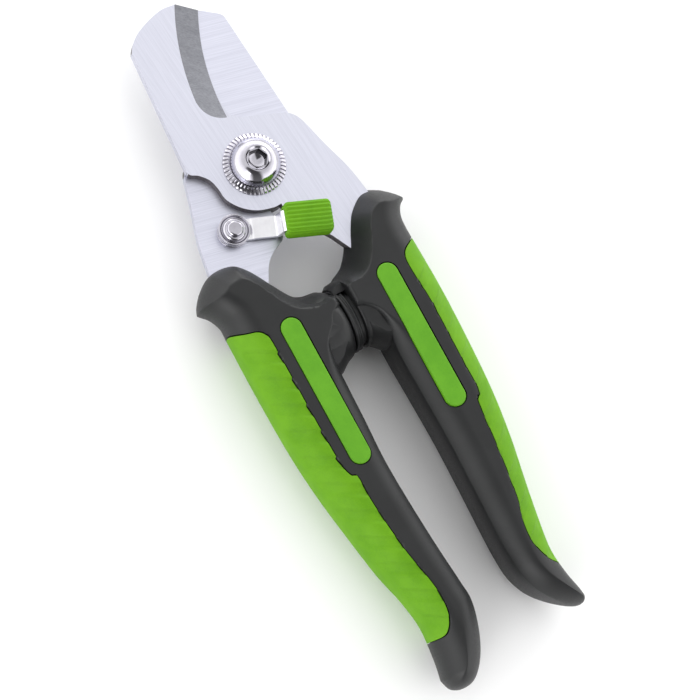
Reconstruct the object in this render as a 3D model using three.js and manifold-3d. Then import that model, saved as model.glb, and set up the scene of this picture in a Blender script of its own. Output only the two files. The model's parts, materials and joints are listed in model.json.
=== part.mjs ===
// Bypass pruning shears, 200 mm long, closed and latched, lying on the undersides of the handles.
//
// Working frame while the pieces are shaped: the pivot axis is the Z axis, Z = 0 lies between
// the two blades, +Y runs towards the blade tips and +Z out of the bolt's head. At the end the
// whole assembly is shifted so that its origin is the bottom centre of its box.
// The rear blade is turned over, and has its own tip. The left handle carries the rear blade and
// the latch, and the right handle carries the front blade. Side is -1 for left and 1 for right.

import * as THREE from 'three';
import { mergeVertices } from 'three/addons/utils/BufferGeometryUtils.js';
import Module from 'manifold-3d';

const wasm = await Module();
wasm.setup();

// ---------------------------------------------------------------- driving dimensions, mm

const GAP = 0.3;                    // between pieces that touch on the real tool
const SEAT = 0.02;                  // between stacked washers, head and blade
const FAR = 30;                     // reach of a cutter that passes right through

const BLADE_THICKNESS = 3;
const BLADE_CLEARANCE = 0.1;        // between the two blades at the pivot
const BLADE_BOTTOM = BLADE_CLEARANCE / 2;
const BLADE_TOP = BLADE_BOTTOM + BLADE_THICKNESS;
const HEEL_RADIUS = 13;             // round heel of each blade, about the pivot
const EDGE_CENTRE = [68.2, 15.3];   // centre of the concave cutting edge
const EDGE_RADIUS = 67.7;
const BEVEL_WIDTH = 6.9;
const BEVEL_END = [1.2, 22, 7.2];   // round end of the ground bevel: x, y, radius
const EDGE_LAND = 0.4;              // thickness left at the cutting edge

const HANDLE_HALF = 10.5;           // half the thickness of a handle
const HANDLE_ROUND = 1.5;           // rounding of its long edges, in plan
const HANDLE_ROUND_HEIGHT = 2.6;
const SKIN = 2.8;                   // thickness of the soft overmould
const GRIP_MIDDLE = -88;            // Y of the middle of the grips
const OUTSIDE = 45;                 // X beyond both handles, for the grips' cutters
const SPINE_HALF_LENGTH = 40;       // of the hard rib under each grip
const SPINE_KEY = 3;                // overlap of that rib with the rest of its core, in plan

const INLAY_WIDTH = 6;
const INLAY_LENGTH = 43.5;
const INLAY_POCKET = 2;
const INLAY_TOPS = { left: [-15.1, -42.6], right: [15.9, -40.9] };

const PIVOT_RADIUS = 4;             // M8 shank
const RUNNING_FIT = 0.05;
const WASHER_RADIUS = 8.8;
const WASHER_FLAT = 7.3;
const WASHER_HEIGHT = 1.3;
const WASHER_RIM = 0.55;
const WASHER_TEETH = 46;
const TOOTH_DEPTH = 0.3;
const HEAD_RADIUS = 6.9;
const HEAD_HEIGHT = 4.4;
const SOCKET_RIM = 3.4;
const SOCKET_ACROSS_FLATS = 5;
const SOCKET_DEPTH = 2.8;
const BACK_WASHER_RADIUS = 7.6;
const BACK_WASHER_HEIGHT = 1.2;
const NUT_ACROSS_FLATS = 13;
const NUT_HEIGHT = 4.4;

const LATCH_PIVOT = [-13.7, -13.8];
const LATCH_ANGLE = THREE.MathUtils.degToRad(-20);
const RIVET_RADIUS = 2;
const RIVET_HEAD = 3.2;
const RIVET_CROWN = 2.15;
const LATCH_WASHER_RADIUS = 4.4;
const LATCH_WASHER_HEIGHT = 0.5;
const EYE_RADIUS = 4.2;
const LEVER_WIDTH = 5.8;
const LEVER_THICKNESS = 1.4;
const FIRST_BEND = 0.65;            // rise of the strip next to its eye
const RAISED_BOTTOM = 6.2;          // underside of the strip's raised end
const RAISED_TOP = RAISED_BOTTOM + LEVER_THICKNESS;
const STRIP_END = 24;               // from the latch pivot
const SLOT_MOUTH = 1.2;             // length of the sleeve's slot that is open below
const SLEEVE_START = 13;            // from the latch pivot, along the lever
const SLEEVE_LENGTH = 12.9;
const SLEEVE_WIDTH = 9.4;
const SLEEVE_BOTTOM = 3.5;
const SLEEVE_TOP = 10.3;
const SLEEVE_RIBS = 7;

const SPRING_Y = -48.9;             // the spring lies across the shears, at the blades' height
const CUP_RADIUS = 9.2;
const BOSS_CHAMFER = 0.7;
const BOSS_FLARE = 1.1;             // the boss widens by this into its handle
const BOSS_END = 14;                // inner end of each boss, from the middle
const CUP_FLOOR = 1.2;              // thickness of the right cup's floor
const CUP_BORE = 6.7;
const LEFT_MOUTH = 0.3;             // X of the left cup's mouth
const LEFT_FLOOR = -11.9;
const RIGHT_MOUTH = 0.6;
const RIGHT_FLOOR = 12.4;
const CUP_NECK = 7.6;
const FLANGE_THICKNESS = 2.2;
const CUP_GROOVE = 1.4;             // between the flange and the right handle's boss
const SPRING_RADIUS = 5.4;          // to the middle of the wire
const WIRE_RADIUS = 0.75;
const SPRING_TURNS = 8;

// ---------------------------------------------------------------- finishes

const steel = { color: 0xd6d8e2, roughness: 0.34, metalness: 1 };
const bright = { color: 0xdedee4, roughness: 0.18, metalness: 1 };
const charcoal = { color: 0x3b3c3e, roughness: 0.55, metalness: 0 };
const lime = { color: 0x75bb2b, roughness: 0.62, metalness: 0 };

// ---------------------------------------------------------------- outlines in plan

// A blade seen from the front: tip, back, heel, latch notch, tang, shoulder and concave cutting
// edge. The rear blade's tip is ground lower and narrower than the front's.
const heelArc = [205, 225, 245, 265, 276].map((degrees) => {
  const angle = THREE.MathUtils.degToRad(degrees);
  return [HEEL_RADIUS * Math.cos(angle), HEEL_RADIUS * Math.sin(angle)];
});
const tips = {
  front: [
    [[2.3, 49.7]],
    [[-1.6, 49.9], [-4.5, 49.3], [-7.6, 48.2], [-11.4, 46.3], [-14.1, 43.9], [-15.3, 42.1]],
    [[-17.8, 5.8]],
  ],
  rear: [
    [[2.3, 49.2]],
    [[-1.5, 49.2], [-4.5, 48.3], [-8.2, 46.4], [-11.4, 44.3], [-13.4, 42.9], [-14.1, 41.7]],
    [[-17.1, 5.8]],
  ],
};
const bladeSteps = (tip) => [
  [[8.1, 46.3]],
  ...tip,
  [[-17.2, 4.7], [-15.3, 3.6], [-13.2, 1.2], [-12.3, -1.8], ...heelArc],
  [[1.4, -19.4]],
  [[2.2, -21.4], [5.8, -23.2], [8.4, -25.2], [9.9, -27.2]],
  [[14.6, -36]],
  [[16, -52]],
  [[16.8, -86]],
  [[18, -89.5], [21, -89.5], [22.2, -86]],
  [[24, -52]],
  [[25.2, -34]],
  [[25, -21]],
  [[23.4, -12], [20.6, -3], [18.3, 5.2], [16.8, 7.9], [15, 9.4]],
  [[8.3, 11.7]],
  [[2.5, 13.9], [1.5, 16.4], [0.9, 19.5], [0.85, 22], [2.1, 30], [4.4, 38], [8.1, 46.3]],
];

// Each handle at its widest: over the blade end, past the spring boss, down the inner wall,
// round the butt and back up the outer side.
const handles = {
  left: {
    side: -1,
    shoulder: [
      [[-29.2, -38]],
      [[-29.1, -35.2], [-30.4, -32], [-32.8, -30.1], [-33.3, -28.3], [-31.7, -26], [-28.2, -23.3],
        [-23.2, -21.6], [-18.6, -22.7], [-14.8, -26], [-11.4, -31.6], [-8, -36.4], [-5.6, -38.4]],
    ],
    inner: [
      [[-5.6, -59.6]],
      [[-7.6, -62], [-8.6, -67], [-8.9, -76], [-9.4, -88], [-9, -101], [-8.2, -114], [-7.2, -125],
        [-6.7, -131], [-8, -138.5], [-10.6, -145], [-14.4, -149.3], [-18.4, -150.3],
        [-21.8, -148.9], [-23, -145.6]],
    ],
    outer: [
      [-21.4, -140], [-20.6, -131], [-21.6, -122.5], [-23.9, -113.5], [-26, -101], [-27.9, -88],
      [-29.1, -74], [-29.5, -56], [-29.2, -38],
    ],
    gripEdge: [
      [-31.6, -37.6], [-24, -41.8], [-21.5, -44.4], [-21.3, -57], [-21.2, -74], [-20.6, -83.6],
      [-18.7, -88], [-18.3, -97], [-16.8, -111], [-14.4, -122.4], [-14.4, -130], [-17.6, -135.2],
      [-25, -133.6],
    ],
  },
  right: {
    side: 1,
    shoulder: [
      [[29.8, -38]],
      [[29.5, -32.6], [30.9, -29], [33, -27], [33.3, -25.2], [31.8, -22.9], [28.8, -20.6],
        [24.2, -19], [20, -19.8], [16.6, -22.8], [13.6, -27.4], [11.4, -31.6], [8.4, -35.2],
        [5.6, -36.9]],
    ],
    inner: [
      [[5.6, -60]],
      [[8.6, -62], [10, -66], [10.8, -76], [11, -90], [10.7, -104], [10, -116], [9.1, -125],
        [9.3, -131.5], [11.4, -137.2], [15, -141.8], [18.8, -145.2], [22, -146.4], [24, -145],
        [23.9, -142.2]],
    ],
    outer: [
      [22.2, -136], [21.4, -129], [22.7, -119], [24.6, -109], [26.7, -98.5], [28.5, -86],
      [29.5, -72], [30.1, -54], [29.8, -38],
    ],
    gripEdge: [
      [31.6, -35.8], [25, -38.9], [22.6, -42.2], [22.8, -56], [22.4, -73], [21.9, -83.6], [20.1, -88],
      [19.1, -99.6], [17.2, -113], [15, -121], [15, -126], [17.2, -131], [25, -134.4],
    ],
  },
};

// ---------------------------------------------------------------- helpers

const pivotFrame = new THREE.Group();
const latchFrame = new THREE.Group();
latchFrame.position.set(LATCH_PIVOT[0], LATCH_PIVOT[1], 0);
latchFrame.rotation.z = LATCH_ANGLE;
pivotFrame.add(latchFrame);

function toSolid(geometry) {
  const bare = geometry.clone();
  bare.deleteAttribute('normal');
  bare.deleteAttribute('uv');
  const merged = mergeVertices(bare, 1e-4);
  const triangles = [];
  const index = merged.index.array;
  for (let i = 0; i < index.length; i += 3) {
    const [a, b, c] = index.slice(i, i + 3);
    if (a !== b && b !== c && c !== a) triangles.push(a, b, c);
  }
  return new wasm.Manifold(new wasm.Mesh({
    numProp: 3,
    vertProperties: new Float32Array(merged.attributes.position.array),
    triVerts: new Uint32Array(triangles),
  }));
}

function toGeometry(solid) {
  const mesh = solid.getMesh();
  const geometry = new THREE.BufferGeometry();
  geometry.setAttribute('position', new THREE.BufferAttribute(mesh.vertProperties, 3));
  geometry.setIndex(new THREE.BufferAttribute(mesh.triVerts, 1));
  geometry.computeVertexNormals();
  return geometry;
}

function place(name, shape, finish, frame = pivotFrame) {
  const geometry = shape.isBufferGeometry ? shape : toGeometry(shape);
  const mesh = new THREE.Mesh(geometry, new THREE.MeshStandardMaterial(finish));
  mesh.name = name;
  frame.add(mesh);
}

// A closed outline: each step is a straight line to one point or a smooth curve through several.
function outline(steps) {
  const path = new THREE.Path();
  steps.forEach((points, i) => {
    if (i === 0) path.moveTo(...points[0]);
    else if (points.length === 1) path.lineTo(...points[0]);
    else path.splineThru(points.map(([x, y]) => new THREE.Vector2(x, y)));
  });
  const points = path.getPoints(2);
  const next = (i) => points[(i + 1) % points.length];
  return new THREE.Shape(points.filter((point, i) => point.distanceTo(next(i)) > 0.01));
}

function plate(shape, bottom, top, grow = 0) {
  const lip = 0.05;
  const options = {
    depth: top - bottom - (grow ? 2 * lip : 0),
    bevelEnabled: grow > 0,
    bevelThickness: lip,
    bevelSize: 0,
    bevelOffset: grow,
    bevelSegments: 1,
    curveSegments: 2,
  };
  return new THREE.ExtrudeGeometry(shape, options).translate(0, 0, bottom + (grow ? lip : 0));
}

function roundedPlate(shape) {
  return new THREE.ExtrudeGeometry(shape, {
    depth: 2 * (HANDLE_HALF - HANDLE_ROUND_HEIGHT),
    bevelThickness: HANDLE_ROUND_HEIGHT,
    bevelSize: HANDLE_ROUND,
    bevelOffset: -HANDLE_ROUND,
    bevelSegments: 3,
    curveSegments: 2,
  }).translate(0, 0, HANDLE_ROUND_HEIGHT - HANDLE_HALF);
}

function disc(radius, bottom, top, segments = 48, topRadius = radius) {
  const height = top - bottom;
  return new THREE.CylinderGeometry(topRadius, radius, height, segments)
    .rotateX(Math.PI / 2)
    .translate(0, 0, bottom + height / 2);
}

// Turned about Z. The profile runs upwards on the outside, as [radius, z].
function turned(profile, segments = 48) {
  const points = profile.map(([r, z]) => new THREE.Vector2(r, z));
  return new THREE.LatheGeometry(points, segments).rotateX(Math.PI / 2);
}

// Turned about the spring's axis. The profile is [radius, distance out from the middle].
function turnedAcross(profile, side) {
  const points = profile.map(([r, out]) => new THREE.Vector2(r, out));
  const geometry = new THREE.LatheGeometry(points, 40).rotateZ(-Math.PI / 2);
  if (side < 0) geometry.rotateY(Math.PI);
  return geometry.translate(0, SPRING_Y, 0);
}

function stadium([x, top], width, length) {
  const r = width / 2;
  const shape = new THREE.Shape();
  shape.absarc(x, top - r, r, 0, Math.PI);
  shape.absarc(x, top - length + r, r, Math.PI, 2 * Math.PI);
  return shape;
}

// ---------------------------------------------------------------- blades

// The hollow-ground bevel is a cone about the centre of the cutting edge's curve.
function bevelCutter() {
  const rise = 2;
  const spread = rise * BEVEL_WIDTH / (BLADE_THICKNESS - EDGE_LAND);
  const low = BLADE_BOTTOM + EDGE_LAND;
  const cone = disc(EDGE_RADIUS, low, BLADE_TOP + rise, 160, EDGE_RADIUS + BEVEL_WIDTH + spread)
    .translate(...EDGE_CENTRE, 0);
  const [x, y, radius] = BEVEL_END;
  const end = disc(radius, low - 1, BLADE_TOP + 2 * rise).translate(x, y, 0);
  const along = new THREE.BoxGeometry(2 * FAR, FAR, FAR).translate(0, y + FAR / 2, FAR / 2);
  return toSolid(cone).intersect(toSolid(end).add(toSolid(along)));
}

const pivotBore = toSolid(disc(PIVOT_RADIUS + RUNNING_FIT, -FAR, FAR));

function makeBlade(tip) {
  return toSolid(plate(outline(bladeSteps(tip)), BLADE_BOTTOM, BLADE_TOP))
    .subtract(pivotBore)
    .subtract(bevelCutter());
}

const rivetBore = toSolid(disc(RIVET_RADIUS + RUNNING_FIT, -FAR, FAR, 32)
  .translate(...LATCH_PIVOT, 0));
const rearBlade = toSolid(toGeometry(makeBlade(tips.rear)).rotateY(Math.PI)).subtract(rivetBore);

place('rear_blade', rearBlade, steel);
place('front_blade', makeBlade(tips.front), steel);

// ---------------------------------------------------------------- handles, grips and inlays

// Plan of the soft grip: its edge on the face, closed well outside the handle.
function gripPlan({ gripEdge, side }, inset) {
  const edge = gripEdge.map(([x, y]) => [
    x + side * inset,
    y + inset * Math.sign(GRIP_MIDDLE - y),
  ]);
  const first = edge[0];
  const last = edge[edge.length - 1];
  return outline([[first], edge.slice(1), [[side * OUTSIDE, last[1]]], [[side * OUTSIDE, first[1]]]]);
}

// Rib of hard plastic under the soft grip: the outer side stepped in by the skin.
function spinePlan({ gripEdge, outer, side }, grow) {
  const stretch = 1 + grow / SPINE_HALF_LENGTH;
  const along = outer.slice(1).map(([x, y]) => [x - side * (SKIN - grow), y]);
  const back = gripEdge.slice(2, -2).map(([x, y]) => [x - side * (SPINE_KEY + grow), y]);
  const points = [...along, ...back]
    .map(([x, y]) => [x, GRIP_MIDDLE + stretch * (y - GRIP_MIDDLE)]);
  return outline(points.map((point) => [point]));
}

function spine(handle, grow) {
  const half = HANDLE_HALF - SKIN + grow;
  return toSolid(plate(spinePlan(handle, grow), -half, half));
}

// The tang's pocket in the handle, the blade's outline grown by the gap.
function tangPocket(side) {
  const pocket = plate(outline(bladeSteps(tips.front)), BLADE_BOTTOM - GAP, BLADE_TOP + GAP, GAP);
  return toSolid(side < 0 ? pocket.rotateY(Math.PI) : pocket);
}

function inlay(at, grow, bottom, top) {
  const [x, y] = at;
  const plan = stadium([x, y + grow], INLAY_WIDTH + 2 * grow, INLAY_LENGTH + 2 * grow);
  return new THREE.ExtrudeGeometry(plan, { depth: top - bottom, bevelEnabled: false, curveSegments: 7 })
    .translate(0, 0, bottom);
}

function makeHandle(name, bossFrom, boreRadius, boreFloor) {
  const handle = handles[name];
  const { side, shoulder, inner, outer } = handle;
  const body = toSolid(roundedPlate(outline([...shoulder, ...inner, outer])));
  const boss = toSolid(turnedAcross([
    [0, bossFrom],
    [CUP_RADIUS - BOSS_CHAMFER, bossFrom],
    [CUP_RADIUS, bossFrom + BOSS_CHAMFER],
    [CUP_RADIUS + BOSS_FLARE, bossFrom + 3 * BOSS_FLARE],
    [CUP_RADIUS + BOSS_FLARE, BOSS_END],
    [0, BOSS_END],
  ], side));
  const bore = toSolid(turnedAcross([
    [0, bossFrom - 1], [boreRadius, bossFrom - 1], [boreRadius, boreFloor], [0, boreFloor],
  ], side));
  const whole = body.add(boss).subtract(bore);

  const gripSpace = toSolid(plate(gripPlan(handle, GAP), -FAR, FAR));
  place(`${name}_grip`, whole.intersect(gripSpace).subtract(spine(handle, GAP)), lime);

  const face = INLAY_TOPS[name];
  let core = whole.subtract(toSolid(plate(gripPlan(handle, 0), -FAR, FAR)))
    .add(spine(handle, 0))
    .subtract(tangPocket(side));
  const floor = HANDLE_HALF - INLAY_POCKET;
  core = core.subtract(toSolid(inlay(face, GAP, floor, FAR)));
  core = core.subtract(toSolid(inlay(face, GAP, -FAR, -floor)));
  place(`${name}_handle_core`, core, charcoal);
  place(`${name}_front_inlay`, inlay(face, 0, floor + GAP, HANDLE_HALF), lime);
  place(`${name}_back_inlay`, inlay(face, 0, -HANDLE_HALF, -floor - GAP), lime);
}

makeHandle('left', -LEFT_MOUTH, CUP_BORE, -LEFT_FLOOR);
const rightBossFrom = RIGHT_MOUTH + FLANGE_THICKNESS + CUP_GROOVE;
const cupEnd = RIGHT_FLOOR + CUP_FLOOR;
makeHandle('right', rightBossFrom, CUP_NECK + GAP, cupEnd + GAP);

// ---------------------------------------------------------------- spring and its flanged cup

place('right_spring_cup', turnedAcross([
  [0, cupEnd],
  [CUP_NECK, cupEnd],
  [CUP_NECK, RIGHT_MOUTH + FLANGE_THICKNESS],
  [CUP_RADIUS, RIGHT_MOUTH + FLANGE_THICKNESS],
  [CUP_RADIUS, RIGHT_MOUTH],
  [CUP_BORE, RIGHT_MOUTH],
  [CUP_BORE, RIGHT_FLOOR],
  [0, RIGHT_FLOOR],
].reverse(), 1), charcoal);

class SpringCoil extends THREE.Curve {
  getPoint(t) {
    const from = LEFT_FLOOR + WIRE_RADIUS + GAP;
    const to = RIGHT_FLOOR - WIRE_RADIUS - GAP;
    const angle = 2 * Math.PI * SPRING_TURNS * t;
    return new THREE.Vector3(
      from + (to - from) * t,
      SPRING_Y + SPRING_RADIUS * Math.cos(angle),
      SPRING_RADIUS * Math.sin(angle),
    );
  }
}
const wire = new THREE.Shape().absarc(0, 0, WIRE_RADIUS, 0, 2 * Math.PI);
place('return_spring', new THREE.ExtrudeGeometry(wire, {
  steps: SPRING_TURNS * 12,
  curveSegments: 3,
  extrudePath: new SpringCoil(),
}), steel);

// ---------------------------------------------------------------- pivot bolt stack

const washerBottom = BLADE_TOP + SEAT;
const headBottom = washerBottom + WASHER_HEIGHT + SEAT;
const headTop = headBottom + HEAD_HEIGHT;
const backWasherBottom = -BLADE_TOP - SEAT - BACK_WASHER_HEIGHT;
const nutBottom = backWasherBottom - SEAT - NUT_HEIGHT;

// Cone washer whose edge is serrated: every second line of the turning is lowered.
function serratedWasher() {
  const bore = PIVOT_RADIUS + RUNNING_FIT;
  const profile = [
    [bore, WASHER_HEIGHT], [bore, 0], [WASHER_RADIUS, 0], [WASHER_RADIUS, WASHER_RIM],
    [WASHER_FLAT, WASHER_HEIGHT], [bore, WASHER_HEIGHT],
  ];
  const toothRows = [3, 4];
  const segments = 2 * WASHER_TEETH;
  const geometry = new THREE.LatheGeometry(profile.map((p) => new THREE.Vector2(...p)), segments);
  const { position } = geometry.attributes;
  for (let line = 1; line < segments; line += 2) {
    for (const row of toothRows) {
      const vertex = line * profile.length + row;
      position.setY(vertex, position.getY(vertex) - TOOTH_DEPTH);
    }
  }
  return geometry.rotateX(Math.PI / 2).translate(0, 0, washerBottom);
}

function hexagon(acrossFlats, bottom, top) {
  return disc(acrossFlats / 2 / Math.cos(Math.PI / 6), bottom, top, 6);
}

function pivotBolt() {
  const tip = nutBottom - 0.8;
  const blank = turned([
    [0, tip], [PIVOT_RADIUS - 0.7, tip], [PIVOT_RADIUS, tip + 0.7], [PIVOT_RADIUS, headBottom],
    [HEAD_RADIUS, headBottom], [HEAD_RADIUS, headBottom + 0.8], [6.4, headBottom + 2.2],
    [5.5, headBottom + 3.3], [4.4, headBottom + 4.1], [SOCKET_RIM + 0.3, headTop], [0, headTop],
  ]);
  const socket = hexagon(SOCKET_ACROSS_FLATS, headTop - SOCKET_DEPTH, headTop + 1);
  const countersink = disc(SOCKET_RIM - 0.5, headTop - 0.5, headTop + 0.5, 48, SOCKET_RIM + 0.5);
  return toSolid(blank).subtract(toSolid(socket)).subtract(toSolid(countersink));
}

function pivotNut() {
  const corner = NUT_ACROSS_FLATS / 2 / Math.cos(Math.PI / 6);
  const top = nutBottom + NUT_HEIGHT;
  const chamfer = turned([
    [0, nutBottom], [corner - 0.9, nutBottom], [corner + 0.1, nutBottom + 0.7],
    [corner + 0.1, top], [0, top],
  ]);
  return toSolid(hexagon(NUT_ACROSS_FLATS, nutBottom, top))
    .intersect(toSolid(chamfer))
    .subtract(pivotBore);
}

const backWasher = disc(BACK_WASHER_RADIUS, backWasherBottom, backWasherBottom + BACK_WASHER_HEIGHT);
place('serrated_washer', serratedWasher(), bright);
place('pivot_bolt', pivotBolt(), bright);
place('back_washer', toSolid(backWasher).subtract(pivotBore), bright);
place('pivot_nut', pivotNut(), bright);

// ---------------------------------------------------------------- latch

const leverBottom = LATCH_WASHER_HEIGHT + SEAT;
const dishBottom = leverBottom + LEVER_THICKNESS + SEAT;
const rivetSeat = dishBottom + LATCH_WASHER_HEIGHT + SEAT;

const latchWasher = disc(LATCH_WASHER_RADIUS, 0, LATCH_WASHER_HEIGHT, 40)
  .translate(...LATCH_PIVOT, 0);
place('latch_washer', toSolid(latchWasher).subtract(rivetBore), bright);

const dishBore = RIVET_RADIUS + RUNNING_FIT;
const dishLip = 0.5;
place('latch_dish_washer', turned([
  [dishBore, dishBottom + LATCH_WASHER_HEIGHT],
  [dishBore, dishBottom],
  [LATCH_WASHER_RADIUS, dishBottom],
  [LATCH_WASHER_RADIUS, dishBottom + LATCH_WASHER_HEIGHT + dishLip],
  [LATCH_WASHER_RADIUS - 0.5, dishBottom + LATCH_WASHER_HEIGHT + dishLip],
  [LATCH_WASHER_RADIUS - 0.7, dishBottom + LATCH_WASHER_HEIGHT],
  [dishBore, dishBottom + LATCH_WASHER_HEIGHT],
], 40).translate(...LATCH_PIVOT, 0), bright);

place('latch_rivet', turned([
  [0, -BLADE_TOP - SEAT - 1],
  [RIVET_HEAD - 0.6, -BLADE_TOP - SEAT - 1],
  [RIVET_HEAD, -BLADE_TOP - SEAT - 0.5],
  [RIVET_HEAD, -BLADE_TOP - SEAT],
  [RIVET_RADIUS, -BLADE_TOP - SEAT],
  [RIVET_RADIUS, rivetSeat],
  [RIVET_HEAD, rivetSeat],
  [RIVET_HEAD, rivetSeat + 0.6],
  [RIVET_HEAD - 0.5, rivetSeat + 0.9],
  [RIVET_CROWN + 0.2, rivetSeat + 0.9],
  [RIVET_CROWN, rivetSeat + 1.6],
  [RIVET_CROWN - 0.6, rivetSeat + 2],
  [0, rivetSeat + 2.1],
], 32).translate(...LATCH_PIVOT, 0), bright);

// The strip is drawn from the side, as [along the lever, z]: a small bend, a flat, then the
// steep joggle that lifts it over the front blade and into the sleeve.
const leverTop = leverBottom + LEVER_THICKNESS;
const stripSide = [
  [2.5, leverBottom], [5.2, leverBottom], [6.1, leverBottom + FIRST_BEND],
  [12.9, leverBottom + FIRST_BEND], [13.9, RAISED_BOTTOM], [STRIP_END, RAISED_BOTTOM],
  [STRIP_END, RAISED_TOP], [12.6, RAISED_TOP], [11.9, leverTop + FIRST_BEND],
  [5.6, leverTop + FIRST_BEND], [4.7, leverTop], [2.5, leverTop],
];

function acrossLever(side, width) {
  const shape = outline(side.map((point) => [point]));
  return new THREE.ExtrudeGeometry(shape, { depth: width, bevelEnabled: false })
    .rotateX(Math.PI / 2)
    .translate(0, width / 2, 0);
}

const eyeBore = toSolid(disc(RIVET_RADIUS + RUNNING_FIT, -FAR, FAR, 32));
const lever = toSolid(disc(EYE_RADIUS, leverBottom, leverTop, 40))
  .add(toSolid(acrossLever(stripSide, LEVER_WIDTH)))
  .subtract(eyeBore);
place('latch_lever', lever, bright, latchFrame);

// Sleeve: a rounded section with lengthwise ribs on top, slipped over the strip's raised end.
function sleeveSection() {
  const half = SLEEVE_WIDTH / 2;
  const corner = 1.6;
  const span = SLEEVE_WIDTH - 2 * corner;
  const steps = SLEEVE_RIBS * 4;
  const ribs = Array.from({ length: steps + 1 }, (_, i) => {
    const wave = 0.15 * (1 - Math.cos(2 * Math.PI * SLEEVE_RIBS * i / steps));
    return [half - corner - span * i / steps, SLEEVE_TOP - wave];
  });
  return [
    [-half + corner, SLEEVE_BOTTOM], [half - corner, SLEEVE_BOTTOM],
    [half - 0.4, SLEEVE_BOTTOM + 0.5], [half, SLEEVE_BOTTOM + corner],
    [half, SLEEVE_TOP - corner], [half - 0.4, SLEEVE_TOP - 0.5],
    ...ribs,
    [-half + 0.4, SLEEVE_TOP - 0.5], [-half, SLEEVE_TOP - corner],
    [-half, SLEEVE_BOTTOM + corner], [-half + 0.4, SLEEVE_BOTTOM + 0.5],
  ];
}

function sleeve() {
  const section = outline(sleeveSection().map((point) => [point]));
  const options = { depth: SLEEVE_LENGTH, bevelEnabled: false };
  const block = new THREE.ExtrudeGeometry(section, options);
  block.rotateX(Math.PI / 2).rotateZ(Math.PI / 2).translate(SLEEVE_START, 0, 0);
  const slot = acrossLever([
    [SLEEVE_START - 1, SLEEVE_BOTTOM - 1],
    [SLEEVE_START + SLOT_MOUTH, SLEEVE_BOTTOM - 1],
    [SLEEVE_START + SLOT_MOUTH, RAISED_BOTTOM - GAP],
    [STRIP_END + GAP, RAISED_BOTTOM - GAP],
    [STRIP_END + GAP, RAISED_TOP + GAP],
    [SLEEVE_START - 1, RAISED_TOP + GAP],
  ], LEVER_WIDTH + 2 * GAP);
  return toSolid(block).subtract(toSolid(slot));
}
place('latch_sleeve', sleeve(), lime, latchFrame);

// ---------------------------------------------------------------- origin at the box's bottom centre

pivotFrame.updateMatrixWorld(true);
const box = new THREE.Box3().setFromObject(pivotFrame, true);
const centre = box.getCenter(new THREE.Vector3());
pivotFrame.position.set(-centre.x, -centre.y, -box.min.z);

const shears = new THREE.Group();
shears.add(pivotFrame);
export default shears;
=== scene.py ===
import math

import bmesh
import bpy
from mathutils import Matrix, Vector, kdtree
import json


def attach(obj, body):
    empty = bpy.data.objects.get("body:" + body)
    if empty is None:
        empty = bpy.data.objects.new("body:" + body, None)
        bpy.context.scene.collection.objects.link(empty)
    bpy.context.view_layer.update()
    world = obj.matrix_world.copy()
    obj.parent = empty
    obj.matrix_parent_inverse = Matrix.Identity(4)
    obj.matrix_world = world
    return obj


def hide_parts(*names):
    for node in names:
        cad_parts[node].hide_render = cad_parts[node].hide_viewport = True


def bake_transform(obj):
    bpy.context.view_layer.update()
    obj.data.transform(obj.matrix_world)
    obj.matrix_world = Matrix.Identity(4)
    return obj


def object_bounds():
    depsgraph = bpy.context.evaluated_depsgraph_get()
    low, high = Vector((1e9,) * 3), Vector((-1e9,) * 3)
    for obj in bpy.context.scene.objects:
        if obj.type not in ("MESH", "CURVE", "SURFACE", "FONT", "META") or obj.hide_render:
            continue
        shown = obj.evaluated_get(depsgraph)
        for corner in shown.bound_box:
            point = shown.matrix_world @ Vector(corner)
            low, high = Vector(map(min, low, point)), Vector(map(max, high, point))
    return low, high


# Bypass pruning shears, closed and latched. Shapes are drawn in millimetres about the
# handle pivot: the pivot axis is Z, Z = 0 lies between the blades and +Y runs to the tips.
# Each finished mesh is then shifted into the row frame, in metres.

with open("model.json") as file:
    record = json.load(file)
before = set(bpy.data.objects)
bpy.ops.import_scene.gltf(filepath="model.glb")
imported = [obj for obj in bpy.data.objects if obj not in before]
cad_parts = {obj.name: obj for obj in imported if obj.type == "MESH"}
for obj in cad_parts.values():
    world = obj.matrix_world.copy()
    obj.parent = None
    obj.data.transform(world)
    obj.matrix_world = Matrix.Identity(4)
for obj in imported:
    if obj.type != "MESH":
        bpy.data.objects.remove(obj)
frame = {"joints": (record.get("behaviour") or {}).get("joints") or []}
cad_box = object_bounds()

PIVOT = 1000 * Vector(
    next(j for j in frame["joints"] if j["name"] == "handle_pivot")["pos_m"]
)
MM = Matrix.Scale(0.001, 4) @ Matrix.Translation(PIVOT)
LEFT, RIGHT = -1, 1

# ---------------------------------------------------------------- driving sizes, mm

BLADE_BOTTOM, BLADE_TOP = 0.05, 3.05
HEEL_RADIUS = 13
EDGE_CENTRE = Vector((68.2, 15.3, 0))  # of the arc that the cutting edge lies on
EDGE_RADIUS = 67.7
BEVEL_WIDTH = 6.9
BEVEL_END = Vector((1.2, 22, 0))  # centre of the bevel's round inner end
BEVEL_END_RADIUS = 7.2
EDGE_LAND = 0.4  # height left square under the bevel
PLATEAU = 10.3  # half the thickness of a handle, short of its proud inlays
HANDLE_HALF = 10.5
THROUGH = 30  # how far cutters reach past the parts they cut
SKIN = 3.4  # thickness of the soft overmould on the faces
SPINE_INSET = 4.6  # and on the outer side, in plan
SEAM = 0.25  # visible gap between hard and soft plastic
GRIP_MIDDLE = -88
RIB_PITCH = 6.9
RIB_SHARE = 0.48  # of the pitch, sunk
RIB_DEPTH = 0.5
RIB_JOG = 0.35
RIB_SQUARE = Vector((0.4329, 0.8719, 0.2288))  # the ribs' planes stand square to this
RIB_PHASE = -50.05
RIBS_START, RIBS_END = -44, -134
INLAY_WIDTH, INLAY_LENGTH = 6, 43.5
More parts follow.
